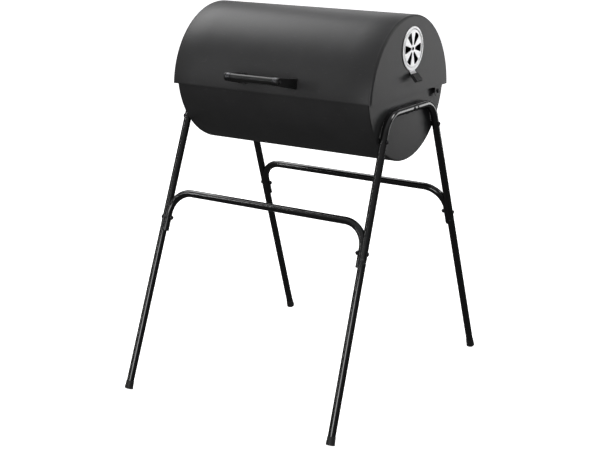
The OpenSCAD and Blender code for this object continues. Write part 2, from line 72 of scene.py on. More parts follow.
# ---------------------------------------------------------------- sizes of the CAD model
# LEAN tips a side frame's plane inward and SPLAY spreads its legs. In that plane, FRAME_V is the
# top bar's height and BEND_U, BEND_V the centre of the bend. Sizes ending in _S run up a leg.
# Sizes ending in _T run up the plane through both front legs, which holds the stretcher.

SHEET = 1.2 * MM
LID_R, LID_AXIS_Z = arc_of("lid_wrapper")
LID_EDGE_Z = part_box("lid_wrapper")[0].z
LID_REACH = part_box("lid_wrapper")[1].x
LID_HALF = 286.6 * MM  # middle of the barrel to the lid's end plate
BOWL_R = 197.7 * MM
BOWL_AXIS_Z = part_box("bowl_wrapper")[0].z + BOWL_R
BOWL_RIM_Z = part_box("bowl_wrapper")[1].z
BOWL_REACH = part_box("bowl_wrapper")[1].x
BEAD_R = 2.5 * MM

TUBE_R = 9.5 * MM
LEAN, SPLAY = math.radians(1.29), math.radians(20.3)
FOOT_X, FOOT_Y = 303.9 * MM, 389.7 * MM
FRAME_Z = 740.5 * MM
BEND_R = 60 * MM
LEG_JOINT_Z = 410 * MM
TOP_JOINT_Y = 20 * MM
SWAGE_R = 8.2 * MM
SWAGE_NECK = 2 * MM
FRAME_V = FRAME_Z / math.cos(LEAN)
BEND_U = FOOT_Y - FRAME_V * math.tan(SPLAY) - BEND_R * math.tan((math.pi / 2 - SPLAY) / 2)
BEND_V = FRAME_V - BEND_R
BEND_S = (BEND_V + BEND_R * math.sin(SPLAY)) / math.cos(SPLAY)
LEG_JOINT_S = LEG_JOINT_Z / (math.cos(LEAN) * math.cos(SPLAY))
LEG_FOOT_S = 7 * MM

PLANE_SPLAY = math.atan(math.tan(SPLAY) / math.cos(LEAN))
PLANE_LEAN = math.atan(math.tan(LEAN) * math.cos(PLANE_SPLAY))
STRETCHER_T = 495 * MM / math.cos(PLANE_SPLAY)
STRETCHER_NEST = 6 * MM
STRETCHER_TIP_T = 396 * MM / math.cos(PLANE_SPLAY)
STRETCHER_END_T = STRETCHER_T - BEND_R * (1 - math.sin(PLANE_LEAN))
STRETCHER_RUN = (
    FOOT_X
    - STRETCHER_END_T * math.tan(PLANE_LEAN)
    - STRETCHER_NEST / math.cos(PLANE_LEAN)
    - BEND_R * math.cos(PLANE_LEAN)
)

VENT_Z = 886 * MM
VENT_X = LID_HALF + 0.3 * MM  # back of a vent disc
VENT_FACE_X = VENT_X + 1.1 * MM
VENT_R = 54 * MM
TAB_BEND_Z = VENT_Z - VENT_R - 1 * MM
TAB_SLOPE = math.radians(42)
TAB_WIDTH = 27 * MM

BAR_Y, BAR_Z = -264 * MM, 819.5 * MM
BAR_HALF = 72 * MM
ARM_THICK = 5 * MM
ARM_ROOT = 9 * MM
FOOT_OUT = 84 * MM


def leg_point(height):
    """Point of the rear right leg's axis at a height above the ground."""
    s = height / (math.cos(LEAN) * math.cos(SPLAY))
    return in_frame(FOOT_Y - s * math.sin(SPLAY), s * math.cos(SPLAY))


def in_frame(u, v, w=0.0):
    """World point of the right side frame's plane: u across the barrel, v up it, w outward."""
    return Vector((
        FOOT_X + w * math.cos(LEAN) - v * math.sin(LEAN),
        u,
        w * math.sin(LEAN) + v * math.cos(LEAN),
    ))


def in_stretcher_plane(x, t, n=0.0):
    """World point of the plane through both front legs: x along the barrel, t up the plane."""
    return Vector((
        x,
        t * math.sin(PLANE_SPLAY) - n * math.cos(PLANE_SPLAY) - FOOT_Y,
        t * math.cos(PLANE_SPLAY) + n * math.sin(PLANE_SPLAY),
    ))


# ---------------------------------------------------------------- mesh tools


class Shells:
    """Closed shells gathered into one mesh."""

    def __init__(self):
        self.points, self.faces = [], []

    def add(self, points, faces, place=None):
        base = len(self.points)
        self.points += [place @ Vector(p) if place else Vector(p) for p in points]
        self.faces += [tuple(base + i for i in face) for face in faces]

    def rings(self, rings, place=None, closed=False):
        """Joins rings of equal count. Open ends are closed with a fan unless the loop is closed."""
        count = len(rings[0])
        points = [p for ring in rings for p in ring]
        faces = []
        pairs = list(range(len(rings) - 1)) + ([len(rings) - 1] if closed else [])
        for i in pairs:
            a, b = i * count, ((i + 1) % len(rings)) * count
            for j in range(count):
                k = (j + 1) % count
                faces.append((a + j, a + k, b + k, b + j))
        if not closed:
            for index in (0, len(rings) - 1):
                middle = sum((Vector(p) for p in rings[index]), Vector()) / count
                points.append(middle)
                hub = len(points) - 1
                base = index * count
                for j in range(count):
                    faces.append((base + j, base + (j + 1) % count, hub))
        self.add(points, faces, place)

    def lathe(self, profile, place, count=48, closed=False):
        """Turns (height, radius) pairs about the local Z axis."""
        turns = [TAU * j / count for j in range(count)]
        rings = [[(r * math.cos(a), r * math.sin(a), h) for a in turns] for h, r in profile]
        self.rings(rings, place, closed)

    def mirrored(self, signs):
        """A copy with X and Y multiplied by the signs."""
        copy = Shells()
        copy.points = [Vector((p.x * signs[0], p.y * signs[1], p.z)) for p in self.points]
        copy.faces = list(self.faces)
        return copy

    def build(self, name, material, body, slot, replaces=(), sharp=35):
        mesh = bpy.data.meshes.new(name)
        mesh.from_pydata(self.points, [], self.faces)
        work = bmesh.new()
        work.from_mesh(mesh)
        bmesh.ops.remove_doubles(work, verts=work.verts, dist=1e-7)
        bmesh.ops.recalc_face_normals(work, faces=work.faces)
        work.to_mesh(mesh)
        work.free()
        return finish_mesh(mesh, name, material, body, replaces, sharp)


def finish_mesh(mesh, name, material, body, replaces=(), sharp=35):
    mesh.materials.clear()
    mesh.materials.append(material)
    mesh.shade_smooth()
    mesh.set_sharp_from_angle(angle=math.radians(sharp))
    piece = bpy.data.objects.new(name, mesh)
    bpy.context.scene.collection.objects.link(piece)
    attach(piece, body)
    if replaces:
        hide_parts(*replaces)
    return piece


def bevel(piece, width, segments=2, angle=35):
    modifier = piece.modifiers.new("soft_edges", "BEVEL")
    modifier.width = width
    modifier.segments = segments
    modifier.limit_method = "ANGLE"
    modifier.angle_limit = math.radians(angle)
    modifier.harden_normals = False
    return piece


def frame_of(origin, direction, side=None):
    """Matrix whose Z axis points along direction."""
    z = Vector(direction).normalized()
    helper = Vector(side) if side else (Vector((0, 0, 1)) if abs(z.z) < 0.9 else Vector((0, 1, 0)))
    x = (helper - z * helper.dot(z)).normalized()
    y = z.cross(x)
    rows = Matrix((x, y, z)).transposed().to_4x4()
    return Matrix.Translation(Vector(origin)) @ rows


def loop_round(centre, tangent, normal, radius, count):
    side = tangent.cross(normal).normalized()
    return [
        centre + (normal * math.cos(TAU * j / count) + side * math.sin(TAU * j / count)) * radius
        for j in range(count)
    ]


def smooth(t):
    t = min(max(t, 0.0), 1.0)
    return t * t * (3 - 2 * t)


# ---------------------------------------------------------------- materials


def new_material(name):
    material = bpy.data.materials.new(name)
    material.use_nodes = True
    tree = material.node_tree
    tree.nodes.clear()
    output = tree.nodes.new("ShaderNodeOutputMaterial")
    shader = tree.nodes.new("ShaderNodeBsdfPrincipled")
    tree.links.new(shader.outputs["BSDF"], output.inputs["Surface"])
    return material, tree, shader


def noise_of(tree, coords, scale, detail=3.0, roughness=0.55, stretch=None):
    source = coords.outputs["Object"]
    if stretch:
        mapping = tree.nodes.new("ShaderNodeMapping")
        mapping.inputs["Scale"].default_value = stretch
        tree.links.new(source, mapping.inputs["Vector"])
        source = mapping.outputs["Vector"]
    noise = tree.nodes.new("ShaderNodeTexNoise")
    noise.inputs["Scale"].default_value = scale
    noise.inputs["Detail"].default_value = detail
    noise.inputs["Roughness"].default_value = roughness
    tree.links.new(source, noise.inputs["Vector"])
    return noise.outputs["Fac"]


def spread(tree, value, low, high, floor=0.3, ceiling=0.7):
    """Maps a noise value to a range."""
    node = tree.nodes.new("ShaderNodeMapRange")
    node.inputs["From Min"].default_value = floor
    node.inputs["From Max"].default_value = ceiling
    node.inputs["To Min"].default_value = low
    node.inputs["To Max"].default_value = high
    tree.links.new(value, node.inputs["Value"])
    return node.outputs["Result"]


def mixed(tree, factor, first, second):
    node = tree.nodes.new("ShaderNodeMix")
    node.data_type = "RGBA"
    node.inputs[6].default_value = (*first, 1)
    node.inputs[7].default_value = (*second, 1)
    tree.links.new(factor, node.inputs["Factor"])
    return node.outputs[2]


def bumped(tree, shader, layers):
    """Chains bump nodes: each layer is (height, strength, distance)."""
    normal = None
    for height, strength, distance in layers:
        node = tree.nodes.new("ShaderNodeBump")
        node.inputs["Strength"].default_value = strength
        node.inputs["Distance"].default_value = distance
        tree.links.new(height, node.inputs["Height"])
        if normal:
            tree.links.new(normal, node.inputs["Normal"])
        normal = node.outputs["Normal"]
    tree.links.new(normal, shader.inputs["Normal"])


def scuffs(tree, coords, scale, threshold):
    """Sparse fine scratches: thin bands of a stretched noise."""
    value = noise_of(tree, coords, scale, 2.0, 0.6, (1.0, 7.0, 2.0))
    return spread(tree, value, 0.0, 1.0, threshold, threshold + 0.06)


def painted(name, base, varied, rough, grain, wave, coat=0.0, wear=0.25):
    """Sprayed paint on steel: slight cloudiness, fine orange peel and a few scuffs."""
    material, tree, shader = new_material(name)
    coords = tree.nodes.new("ShaderNodeTexCoord")
    cloud = noise_of(tree, coords, 9.0, 4.0)
    fine = noise_of(tree, coords, grain, 2.0)
    colour = mixed(tree, spread(tree, cloud, 0.0, 1.0), base, varied)
    marks = scuffs(tree, coords, 60.0, 0.66)
    worn = tree.nodes.new("ShaderNodeMix")
    worn.data_type = "RGBA"
    worn.inputs[7].default_value = (*[min(1.0, c * 1.9 + 0.01) for c in varied], 1)
    share = tree.nodes.new("ShaderNodeMath")
    share.operation = "MULTIPLY"
    share.inputs[1].default_value = wear
    tree.links.new(marks, share.inputs[0])
    tree.links.new(share.outputs[0], worn.inputs["Factor"])
    tree.links.new(colour, worn.inputs[6])
    tree.links.new(worn.outputs[2], shader.inputs["Base Color"])
    tree.links.new(spread(tree, fine, rough[0], rough[1], 0.25, 0.75), shader.inputs["Roughness"])
    shader.inputs["Coat Weight"].default_value = coat
    shader.inputs["Coat Roughness"].default_value = 0.07
    broad = noise_of(tree, coords, wave, 1.0, 0.4)
    bumped(tree, shader, [(broad, 0.25, 0.0012), (fine, 0.22, 0.00012)])
    return material


def moulded(name, base, varied, rough, grain):
    """Injection moulded plastic with a fine spark-eroded grain."""
    material, tree, shader = new_material(name)
    coords = tree.nodes.new("ShaderNodeTexCoord")
    cloud = noise_of(tree, coords, 25.0, 3.0)
    cells = tree.nodes.new("ShaderNodeTexVoronoi")
    cells.inputs["Scale"].default_value = grain
    tree.links.new(coords.outputs["Object"], cells.inputs["Vector"])
    colour = mixed(tree, spread(tree, cloud, 0.0, 1.0), base, varied)
    tree.links.new(colour, shader.inputs["Base Color"])
    tree.links.new(spread(tree, cloud, rough[0], rough[1]), shader.inputs["Roughness"])
    bumped(tree, shader, [(cells.outputs["Distance"], 0.28, 0.00015)])
    return material


def plated(name, base, varied, rough, stretch, metal=1.0):
    """Plated or bare metal with a drawn or brushed grain and faint stains."""
    material, tree, shader = new_material(name)
    coords = tree.nodes.new("ShaderNodeTexCoord")
    stain = noise_of(tree, coords, 32.0, 4.0)
    brushed = noise_of(tree, coords, 260.0, 2.0, 0.6, stretch)
    colour = mixed(tree, spread(tree, stain, 0.0, 1.0), base, varied)
    tree.links.new(colour, shader.inputs["Base Color"])
    shader.inputs["Metallic"].default_value = metal
    tree.links.new(spread(tree, brushed, rough[0], rough[1], 0.25, 0.75), shader.inputs["Roughness"])
    bumped(tree, shader, [(brushed, 0.16, 0.00008), (stain, 0.1, 0.0004)])
    return material


drum_paint = painted(
    "drum_paint", (0.036, 0.036, 0.037), (0.046, 0.046, 0.047), (0.40, 0.50), 900.0, 5.0
)
inner_paint = painted(
    "inner_paint", (0.020, 0.020, 0.021), (0.028, 0.028, 0.028), (0.5, 0.62), 700.0, 5.0
)
tube_paint = painted(
    "tube_paint", (0.006, 0.006, 0.0065), (0.010, 0.010, 0.0105), (0.13, 0.19), 1200.0, 14.0,
    coat=0.7,
)
handle_black = moulded(
    "handle_black", (0.010, 0.010, 0.010), (0.016, 0.016, 0.016), (0.42, 0.55), 2600.0
)
grip_satin = painted(
    "grip_satin", (0.012, 0.012, 0.012), (0.018, 0.018, 0.018), (0.28, 0.36), 1500.0, 30.0
)
cap_plastic = moulded(
    "cap_plastic", (0.022, 0.022, 0.022), (0.032, 0.032, 0.032), (0.5, 0.62), 2200.0
)
collar_metal = plated(
    "collar_metal", (0.075, 0.075, 0.08), (0.12, 0.12, 0.125), (0.24, 0.36), (1.0, 5.0, 5.0)
)
vent_metal = plated(
    "vent_metal", (0.86, 0.86, 0.87), (0.94, 0.94, 0.94), (0.36, 0.46), (4.0, 4.0, 0.6), 0.9
)
dark_fastener = plated(
    "dark_fastener", (0.035, 0.035, 0.038), (0.06, 0.06, 0.062), (0.30, 0.42), (2.0, 2.0, 2.0), 0.8
)
grate_wire = plated(
    "grate_wire", (0.62, 0.62, 0.62), (0.74, 0.74, 0.75), (0.16, 0.28), (3.0, 0.5, 3.0)
)

FINISH = {
    "drum_paint": drum_paint,
    "tube_paint": tube_paint,
    "handle_black": handle_black,
    "cap_plastic": cap_plastic,
    "collar_metal": collar_metal,
    "vent_metal": vent_metal,
    "dark_fastener": dark_fastener,
    "grate_wire": grate_wire,
}
SLOT_OF = {s["node"]: s["material_slot"] for s in frame["record"]["subparts"]}
for node, cad in frame["nodes"].items():
    finish = FINISH[SLOT_OF[node]]
    if node.startswith(("grill_rail", "lid_rest")):
        finish = inner_paint
    cad.data.materials.clear()
    cad.data.materials.append(finish)


# ---------------------------------------------------------------- lid and bowl sheet


def arc_section(radius, axis_z, start, stop, thick, steps):
    """Closed loop of (y, z): a curved sheet's section between two angles, with rounded edges."""
    loop = []
    for i in range(steps + 1):
        a = start + (stop - start) * i / steps
        loop.append((radius * math.cos(a), axis_z + radius * math.sin(a)))
    mid = radius - thick / 2
    turn = 1 if stop > start else -1
    for i in range(1, 5):
        b = math.pi * i / 5
        r = mid + thick / 2 * math.cos(b)
        push = turn * thick / 2 * math.sin(b) / mid
        loop.append((r * math.cos(stop + push), axis_z + r * math.sin(stop + push)))
    for i in range(steps + 1):
        a = stop + (start - stop) * i / steps
        r = radius - thick
        loop.append((r * math.cos(a), axis_z + r * math.sin(a)))
    for i in range(1, 5):
        b = math.pi * i / 5
        r = mid - thick / 2 * math.cos(b)
        push = turn * thick / 2 * math.sin(b) / mid
        loop.append((r * math.cos(start - push), axis_z + r * math.sin(start - push)))
    return loop


def sheet_rings(section, axis_z, reach):
    """The section at stations along X, pinched at both ends for a softly rolled edge."""
    soft = 0.35 * MM
    stations = [(-reach, soft), (-reach + 0.3 * soft, 0.3 * soft), (-reach + soft, 0.0)]
    stations += [(-reach * k / 4, 0.0) for k in (3, 2, 1)] + [(0.0, 0.0)]
    stations += [(-x, s) for x, s in reversed(stations[:-1])]
    rings = []
    for x, inset in stations:
        ring = []
        for y, z in section:
            r = math.hypot(y, z - axis_z)
            share = (r - inset) / r
            ring.append((x, y * share, axis_z + (z - axis_z) * share))
        rings.append(ring)
    return rings


ARC_STEPS = 160
BEAD_SINK = 0.2 * MM  # how deep the rim's bead sits inside the sheet's outer face
BEAD_SOFT = 0.4 * MM
edge_angle = math.asin((LID_EDGE_Z - LID_AXIS_Z) / LID_R) + SHEET / 2 / LID_R
lid_section = arc_section(
    LID_R, LID_AXIS_Z, edge_angle, math.pi - edge_angle, SHEET, ARC_STEPS
)
lid_skin = Shells()
lid_skin.rings(sheet_rings(lid_section, LID_AXIS_Z, LID_REACH))
lid_skin.build("lid_skin", drum_paint, "lid", "drum_paint", ["lid_wrapper"], 30)

bead_z = BOWL_RIM_Z - BEAD_R
rim_angle = math.asin((BOWL_AXIS_Z - bead_z) / BOWL_R)
bowl_section = arc_section(
    BOWL_R, BOWL_AXIS_Z, math.pi + rim_angle, TAU - rim_angle, SHEET, ARC_STEPS
)
bowl_skin = Shells()
bowl_skin.rings(sheet_rings(bowl_section, BOWL_AXIS_Z, BOWL_REACH))
bead_y = math.sqrt((BOWL_R - BEAD_R - BEAD_SINK) ** 2 - (BOWL_AXIS_Z - bead_z) ** 2)
for side in (-1, 1):
    place = frame_of((-BOWL_REACH, side * bead_y, bead_z), (1, 0, 0))
    length = 2 * BOWL_REACH
    bowl_skin.lathe(
        [(0, BEAD_R - BEAD_SOFT), (BEAD_SOFT, BEAD_R), (length / 2, BEAD_R),
         (length - BEAD_SOFT, BEAD_R), (length, BEAD_R - BEAD_SOFT)],
        place, 28,
    )
bowl_skin.build("bowl_skin", drum_paint, "root", "drum_paint", ["bowl_wrapper"], 30)


# ---------------------------------------------------------------- stand


def tube_rings(path, normal, count=64):
    """path is a list of (centre, tangent, radius)."""
    return [loop_round(c, t, normal, r, count) for c, t, r in path]


def lipped(path, at_start, depth=9 * MM, wall=1.2 * MM):
    """Adds an open end: a softened lip and the start of the bore behind it."""
    chamfer = 0.25 * MM
    centre, tangent, radius = path[0] if at_start else path[-1]
    inward = tangent if at_start else -tangent
    ends = [
        (centre + inward * depth, tangent, radius - wall),
        (centre + inward * chamfer, tangent, radius - wall),
        (centre, tangent, radius - wall + chamfer),
        (centre, tangent, radius - chamfer),
        (centre + inward * chamfer, tangent, radius),
    ]
    return ends + path[1:] if at_start else path[:-1] + ends[::-1]


def punched(points, marks, reach, depth):
    """Presses small round dimples into a surface, each along its own inward direction."""
    for point in points:
        for mark, inward in marks:
            away = (point - mark).length
            if away < reach:
                point += inward * (depth * (1 - (away / reach) ** 2) ** 2)
                break


def upper_tube(front):
    """Half of an inverted U in the right frame's plane, as the rear half or the front half."""
    across = Vector((0, 1, 0))
    if front:
        start = -TOP_JOINT_Y + 0.05 * MM
        stations = [start, start + 3 * MM, start + 8 * MM, start + 30 * MM]
        path = [(in_frame(u, FRAME_V), across, TUBE_R) for u in stations]
    else:
        start = TOP_JOINT_Y
        path = [
            (in_frame(start - 10 * MM, FRAME_V), across, SWAGE_R),
            (in_frame(start, FRAME_V), across, SWAGE_R),
            (in_frame(start + 0.8 * SWAGE_NECK, FRAME_V), across, TUBE_R - 0.35 * MM),
            (in_frame(start + 1.1 * SWAGE_NECK, FRAME_V), across, TUBE_R),
            (in_frame(start + 4 * SWAGE_NECK, FRAME_V), across, TUBE_R),
        ]
    steps = 36
    for i in range(steps + 1):
        a = math.pi / 2 + (SPLAY - math.pi / 2) * i / steps
        u, v = BEND_U + BEND_R * math.cos(a), BEND_V + BEND_R * math.sin(a)
        tangent = in_frame(u + math.sin(a), v - math.cos(a)) - in_frame(u, v)
        path.append((in_frame(u, v), tangent.normalized(), TUBE_R))
    down = in_frame(math.sin(SPLAY), -math.cos(SPLAY)) - in_frame(0, 0)
    fine_from = LEG_JOINT_S + 9 * MM
    stations = [BEND_S - (BEND_S - fine_from) * k / 8 for k in range(1, 9)]
    stations += [fine_from - 0.5 * MM * k for k in range(1, 19)]
    for s in stations:
        point = in_frame(FOOT_Y - s * math.sin(SPLAY), s * math.cos(SPLAY))
        path.append((point, down, TUBE_R))
    normal = in_frame(0, 0, 1) - in_frame(0, 0, 0)
    path = lipped(path, False)
    if front:
        path = lipped(path, True)
    shells = Shells()
    shells.rings(tube_rings(path, normal, 80))
    marks, count = [], 8
    mark_s = LEG_JOINT_S + 5 * MM
    centre = in_frame(FOOT_Y - mark_s * math.sin(SPLAY), mark_s * math.cos(SPLAY))
    side = down.cross(normal).normalized()
    for i in range(count):
        a = TAU * (i + 0.5) / count
        out = normal * math.cos(a) + side * math.sin(a)
        marks.append((centre + out * TUBE_R, -out))
    mark_reach, mark_depth = 2.0 * MM, 0.75 * MM
    punched(shells.points, marks, mark_reach, mark_depth)
    return shells


def lower_tube():
    """Lower part of the rear right leg, with the reduced end inside the upper tube."""
    down = (in_frame(math.sin(SPLAY), -math.cos(SPLAY)) - in_frame(0, 0)).normalized()
    normal = in_frame(0, 0, 1) - in_frame(0, 0, 0)

    def at(s):
        return in_frame(FOOT_Y - s * math.sin(SPLAY), s * math.cos(SPLAY))

    path = [
        (at(LEG_JOINT_S + 8 * MM), down, SWAGE_R - 0.2 * MM),
        (at(LEG_JOINT_S), down, SWAGE_R),
        (at(LEG_JOINT_S - 0.8 * SWAGE_NECK), down, TUBE_R - 0.4 * MM),
        (at(LEG_JOINT_S - 1.2 * SWAGE_NECK), down, TUBE_R),
        (at(LEG_JOINT_S - 3 * SWAGE_NECK), down, TUBE_R),
    ]
    for k in range(1, 7):
        s = LEG_JOINT_S + (LEG_FOOT_S - LEG_JOINT_S) * k / 6
        path.append((at(s), down, TUBE_R))
    shells = Shells()
    shells.rings(tube_rings(path, normal, 64))
    return shells


def foot_cap():
    """Flared plastic cap with a rolled rim and shallow ribs round it."""
    low, high = 2.9 * MM, 24 * MM
    r_low, r_high = 11.4 * MM, 10.2 * MM
    origin = in_frame(FOOT_Y, 0)
    up = (in_frame(-math.sin(SPLAY), math.cos(SPLAY)) - in_frame(0, 0)).normalized()
    place = frame_of(origin, up, in_frame(0, 0, 1) - in_frame(0, 0, 0))

    def wall(h):
        return r_low + (r_high - r_low) * (h - low) / (high - low)

    plain, rib, trace, slack = 1.3 * MM, 0.28 * MM, 0.02 * MM, 0.06 * MM
    profile = [
        (low, 0.6 * MM), (low, wall(low) - 1.4 * MM), (low + 0.4 * MM, wall(low) - 0.5 * MM),
        (low + plain, wall(low) - trace),
    ]
    for i in range(1, 10):
        h = low + plain + (high - low - 2 * plain) * i / 10
        profile.append((h, wall(h) - (rib if i % 2 else trace)))
    profile += [
        (high - 1.2 * MM, wall(high)), (high - 0.4 * MM, wall(high)), (high, wall(high) - 0.35 * MM),
        (high, TUBE_R + slack), (high - 6 * MM, TUBE_R + slack),
    ]
    shells = Shells()
    shells.lathe(profile, place, 56)
    for point in shells.points:
        point.z = max(point.z, 0.0)
    return shells


def pressed_on_leg(points, clearance):
    """Moves what lies in the front right leg onto its inner side, as a crushed tube end hugs it."""
    rear = leg_point(0.0)
    foot = Vector((rear.x, -rear.y, rear.z))
    top = leg_point(0.7)
    axis = (Vector((top.x, -top.y, top.z)) - foot).normalized()
    outward = in_stretcher_plane(1, 0) - in_stretcher_plane(0, 0)
    outward = (outward - axis * outward.dot(axis)).normalized()
    across = axis.cross(outward)
    radius = TUBE_R + clearance
    for point in points:
        offset = point - foot
        a, b = offset.dot(outward), offset.dot(across)
        if a * a + b * b < radius * radius:
            point += outward * (-math.sqrt(radius * radius - b * b) - a)


def stretcher():
    """Front stretcher: a bent tube whose crushed ends lie along the inside of the legs."""
    normal = in_stretcher_plane(0, 0, 1) - in_stretcher_plane(0, 0, 0)
    path = []

    def add(x, t, dx, dt, radius=TUBE_R):
        point = in_stretcher_plane(x, t)
        tangent = (in_stretcher_plane(x + dx, t + dt) - point).normalized()
        path.append((point, tangent, radius))

    for k in range(7):
        add(STRETCHER_RUN * k / 6, STRETCHER_T, 1, 0)
    steps = 40
    for i in range(1, steps + 1):
        a = math.pi / 2 + (PLANE_LEAN - math.pi / 2) * i / steps
        add(
            STRETCHER_RUN + BEND_R * math.cos(a),
            STRETCHER_T - BEND_R + BEND_R * math.sin(a),
            math.sin(a), -math.cos(a),
        )
    end_x = STRETCHER_RUN + BEND_R * math.cos(PLANE_LEAN)
    length = (STRETCHER_END_T - STRETCHER_TIP_T) / math.cos(PLANE_LEAN)
    for k in list(range(1, 12)) + [11.8, 11.95, 12]:
        d = length * k / 12
        add(
            end_x + d * math.sin(PLANE_LEAN), STRETCHER_END_T - d * math.cos(PLANE_LEAN),
            math.sin(PLANE_LEAN), -math.cos(PLANE_LEAN),
            TUBE_R - (0 if k < 11.9 else 0.3 * MM if k < 12 else 0.9 * MM),
        )
    half = tube_rings(path, normal, 72)
    for ring in half:
        pressed_on_leg(ring, 0.12 * MM)
    other = [[Vector((-p.x, p.y, p.z)) for p in ring] for ring in half[1:]]
    shells = Shells()
    shells.rings(other[::-1] + half)
    return shells


UPPER = {"rear": upper_tube(False), "front": upper_tube(True)}
LOWER, CAP, STRETCHER = lower_tube(), foot_cap(), stretcher()
for end, sx in (("right", 1), ("left", -1)):
    for face, sy in (("front", -1), ("rear", 1)):
        corner = face + "_" + end
        UPPER[face].mirrored((sx, sy)).build(
            "upper_tube_" + corner, tube_paint, "root", "tube_paint", ["frame_tube_" + corner]
        )
        LOWER.mirrored((sx, sy)).build(
            "lower_tube_" + corner, tube_paint, "root", "tube_paint", ["lower_leg_" + corner]
        )
        CAP.mirrored((sx, sy)).build(
            "cap_" + corner, cap_plastic, "root", "cap_plastic", ["foot_cap_" + corner]
        )
for face, sy in (("front", 1), ("rear", -1)):
    STRETCHER.mirrored((1, sy)).build(
        "brace_" + face, tube_paint, "root", "tube_paint", ["stretcher_" + face]
    )


# ---------------------------------------------------------------- fasteners


def head(shells, place, radius, height):
    """Pan head with a cross recess. Local Z points out of the surface it sits on."""
    count, rings, rim, steps = 64, [], 0.42, 14
    profile = [(0.0, radius * 0.94), (height * 0.10, radius), (height * rim, radius)]
    for i in range(1, steps + 1):
        t = i / steps
        profile.append((
            height * (rim + (1 - rim) * math.sin(t * math.pi / 2)),
            radius * (1 - 0.985 * t * (0.35 + 0.65 * t)),
        ))
    for h, r in profile:
        ring = []
        for j in range(count):
            a = TAU * j / count
            x, y = r * math.cos(a), r * math.sin(a)
            near = min(abs(x), abs(y))
            slot = smooth((0.17 * radius - near) / (0.06 * radius))
            slot *= smooth((0.62 * radius - r) / (0.1 * radius)) if h > 0.5 * height else 0
            ring.append((x, y, h - slot * height * 0.42))
        rings.append(ring)
    shells.rings(rings, place)


def nut(shells, place, corner_r, height):
    """Hexagonal nut with chamfered corners and a domed locking collar."""
    count = 48
    flat = corner_r * math.cos(math.pi / 6)
    rings = []
    for h, limit in ((0, 0.9), (0.1, 1.0), (0.86, 1.0), (1.0, 0.9)):
        ring = []
        for j in range(count):
            a = TAU * j / count
            turn = (a + math.pi / 6) % (math.pi / 3) - math.pi / 6
            r = min(flat / math.cos(turn), corner_r * limit)
            ring.append((r * math.cos(a), r * math.sin(a), h * height))
        rings.append(ring)
    for h, share in ((1.0, 0.76), (1.1, 0.72), (1.14, 0.62)):
        r = corner_r * share
        rings.append([
            (r * math.cos(TAU * j / count), r * math.sin(TAU * j / count), h * height)
            for j in range(count)
        ])
    shells.rings(rings, place)


def thread(shells, place, radius, length, pitch=1.0 * MM):
    """Threaded end of a bolt. Local Z points towards its tip."""
    profile, h = [(0.0, radius)], 0.0
    while h + pitch < length - 0.3 * MM:
        profile += [(h + 0.25 * pitch, radius - 0.32 * MM), (h + 0.5 * pitch, radius)]
        h += 0.5 * pitch
    profile += [(length - 0.2 * MM, radius - 0.3 * MM), (length, radius - 0.8 * MM)]
    shells.lathe(profile, place, 28)


CORNERS = [(sx, sy) for sx in (-1, 1) for sy in (-1, 1)]
BOLT_R, HEAD_R, HEAD_H, NUT_R, NUT_H = 3 * MM, 5.5 * MM, 3.2 * MM, 5.77 * MM, 5 * MM
HEXAGON_H = 0.87 * NUT_H  # the nut without its locking collar
TIP = 2 * MM  # how far a bolt stands out of its nut
SNUG = 0.05 * MM
HEAD_GAP = 0.15 * MM
BRACE_BOLT_Z, SIDE_BOLT_Z = 429 * MM, 681 * MM
BOWL_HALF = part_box("bowl_end_right")[1].x


def bolts_and_nuts(point, places, head_x, nut_x, bolts, nuts):
    """Bolts along X through a point and its mirror images, as one piece, and their nuts as another.

    head_x and nut_x are distances from the barrel's middle; bolts and nuts are (piece, node)."""
    shells = Shells()
    for sx, sy in places:
        out, y = Vector((sx, 0, 0)), point.y * sy
        head(shells, frame_of((sx * head_x, y, point.z), out), HEAD_R, HEAD_H)
        shank = head_x - nut_x
        shells.lathe(
            [(0, BOLT_R), ((shank + NUT_H + TIP) / 2, BOLT_R), (shank, BOLT_R)],
            frame_of((sx * head_x, y, point.z), -out), 28,
        )
        thread(shells, frame_of((sx * nut_x, y, point.z), -out), BOLT_R, NUT_H + TIP)
    shells.build(bolts[0], dark_fastener, "root", "dark_fastener", [bolts[1]], 40)
    shells = Shells()
    for sx, sy in places:
        place = frame_of((sx * nut_x, point.y * sy, point.z), (-sx, 0, 0))
        nut(shells, place, NUT_R, HEXAGON_H)
    shells.build(nuts[0], dark_fastener, "root", "dark_fastener", [nuts[1]], 40)


brace_bolt, side_bolt = leg_point(BRACE_BOLT_Z), leg_point(SIDE_BOLT_Z)
wall_nut_x = BOWL_HALF - SHEET - SNUG
bolts_and_nuts(
    brace_bolt, CORNERS,
    brace_bolt.x + TUBE_R + HEAD_GAP, brace_bolt.x - STRETCHER_NEST - TUBE_R - SNUG,
    ("brace_bolts", "stretcher_bolts"), ("brace_nuts", "stretcher_nuts"),
)
bolts_and_nuts(
    side_bolt, CORNERS, side_bolt.x + TUBE_R + HEAD_GAP, wall_nut_x,
    ("side_bolts", "frame_bolts"), ("side_nuts", "frame_nuts"),
)
HINGE = Vector((0, *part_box("hinge_bolts")[0].yz)) + Vector((0, HEAD_R, HEAD_R))
bolts_and_nuts(
    HINGE, [(-1, 1), (1, 1)], LID_HALF + 0.3 * MM, wall_nut_x,
    ("hinge_pins", "hinge_bolts"), ("hinge_pin_nuts", "hinge_nuts"),
)

